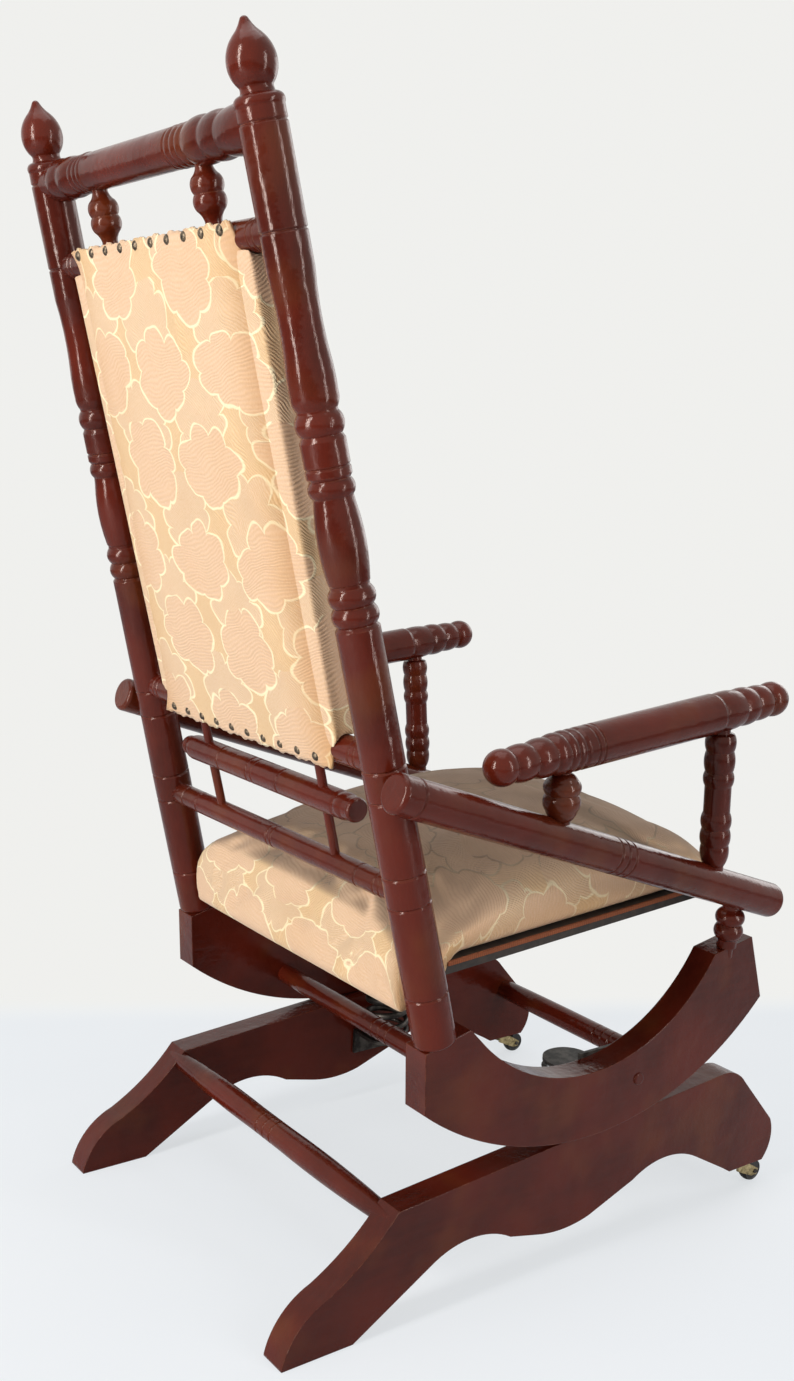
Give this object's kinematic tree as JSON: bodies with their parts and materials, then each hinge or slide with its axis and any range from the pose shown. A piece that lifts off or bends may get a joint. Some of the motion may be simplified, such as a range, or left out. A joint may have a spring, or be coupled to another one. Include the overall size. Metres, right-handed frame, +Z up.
{
  "type": "platform rocker",
  "caption": "Turned-wood platform rocker: an upholstered chair on curved rockers that tilts over a low spring-linked base with front casters",
  "frame": {"origin": "centre of the part's footprint, on the floor", "axes": "+X is the sitter's left, +Y is behind the chair, so the chair faces -Y, and +Z is up"},
  "size_m": [0.54, 0.7112, 1.1],
  "materials": {
    "painted_wood": "gloss red-brown paint over turned wood, worn at the edges",
    "frame_wood": "dark stained wood, rough",
    "damask": "ribbed peach damask with pale lobed outlines",
    "welt_cloth": "rust-brown woven edging",
    "webbing": "plain jute webbing",
    "tack_metal": "dark antique dome heads",
    "spring_steel": "dark oiled steel",
    "caster_brass": "dull brass",
    "wheel_black": "black composition wheel"
  },
  "bodies": {
    "base": {"left_base_runner": "painted_wood", "right_base_runner": "painted_wood", "rear_base_stretcher": "painted_wood", "front_base_stretcher": "painted_wood", "left_caster_socket": "caster_brass", "left_base_clip": "spring_steel", "left_coil_spring": "spring_steel", "right_caster_socket": "caster_brass", "right_base_clip": "spring_steel", "right_coil_spring": "spring_steel"},
    "rocker_frame": {"left_rocker": "painted_wood", "left_rocker_plug": "painted_wood", "left_rocker_clip": "spring_steel", "left_back_post": "painted_wood", "left_side_rail": "painted_wood", "left_arm": "painted_wood", "left_front_post": "painted_wood", "left_arm_spindle": "painted_wood", "left_lower_spindle": "painted_wood", "left_back_dowel": "painted_wood", "left_crest_spindle": "painted_wood", "left_seat_bar": "frame_wood", "left_seat_welt": "welt_cloth", "left_rear_seat_dowel": "frame_wood", "left_front_seat_dowel": "frame_wood", "right_rocker": "painted_wood", "right_rocker_plug": "painted_wood", "right_rocker_clip": "spring_steel", "right_back_post": "painted_wood", "right_side_rail": "painted_wood", "right_arm": "painted_wood", "right_front_post": "painted_wood", "right_arm_spindle": "painted_wood", "right_lower_spindle": "painted_wood", "right_back_dowel": "painted_wood", "right_crest_spindle": "painted_wood", "right_seat_bar": "frame_wood", "right_seat_welt": "welt_cloth", "right_rear_seat_dowel": "frame_wood", "right_front_seat_dowel": "frame_wood", "rear_rocker_stretcher": "painted_wood", "crest_rail": "painted_wood", "upper_pad_rail": "painted_wood", "lower_pad_rail": "painted_wood", "lower_back_rail": "painted_wood", "free_spindle": "painted_wood", "back_pad": "damask", "back_cover": "damask", "top_tacks": "tack_metal", "bottom_tacks": "tack_metal", "seat_cushion": "damask", "seat_front_bar": "frame_wood", "seat_rear_bar": "frame_wood", "seat_webbing": "webbing"},
    "left_caster": {"left_caster_fork": "caster_brass", "left_caster_axle": "spring_steel"},
    "left_wheel": {"left_caster_wheel": "wheel_black"},
    "right_caster": {"right_caster_fork": "caster_brass", "right_caster_axle": "spring_steel"},
    "right_wheel": {"right_caster_wheel": "wheel_black"}
  },
  "joints": [
    {"name": "rock", "type": "hinge", "parent": "base", "child": "rocker_frame", "pos_m": [0, -0.085, 0.1367], "axis": [1, 0, 0], "range_deg": [-6, 6], "stiffness_Nm_per_rad": 160, "springref_deg": 5.19, "deforming": ["left_coil_spring", "right_coil_spring"]},
    {"name": "left_caster_swivel", "type": "hinge", "parent": "base", "child": "left_caster", "pos_m": [0.206, -0.318, 0.03], "axis": [0, 0, 1], "continuous": true},
    {"name": "left_wheel_spin", "type": "hinge", "parent": "left_caster", "child": "left_wheel", "pos_m": [0.206, -0.343, 0.013], "axis": [1, 0, 0], "continuous": true},
    {"name": "right_caster_swivel", "type": "hinge", "parent": "base", "child": "right_caster", "pos_m": [-0.206, -0.318, 0.03], "axis": [0, 0, 1], "continuous": true},
    {"name": "right_wheel_spin", "type": "hinge", "parent": "right_caster", "child": "right_wheel", "pos_m": [-0.206, -0.343, 0.013], "axis": [1, 0, 0], "continuous": true}
  ]
}
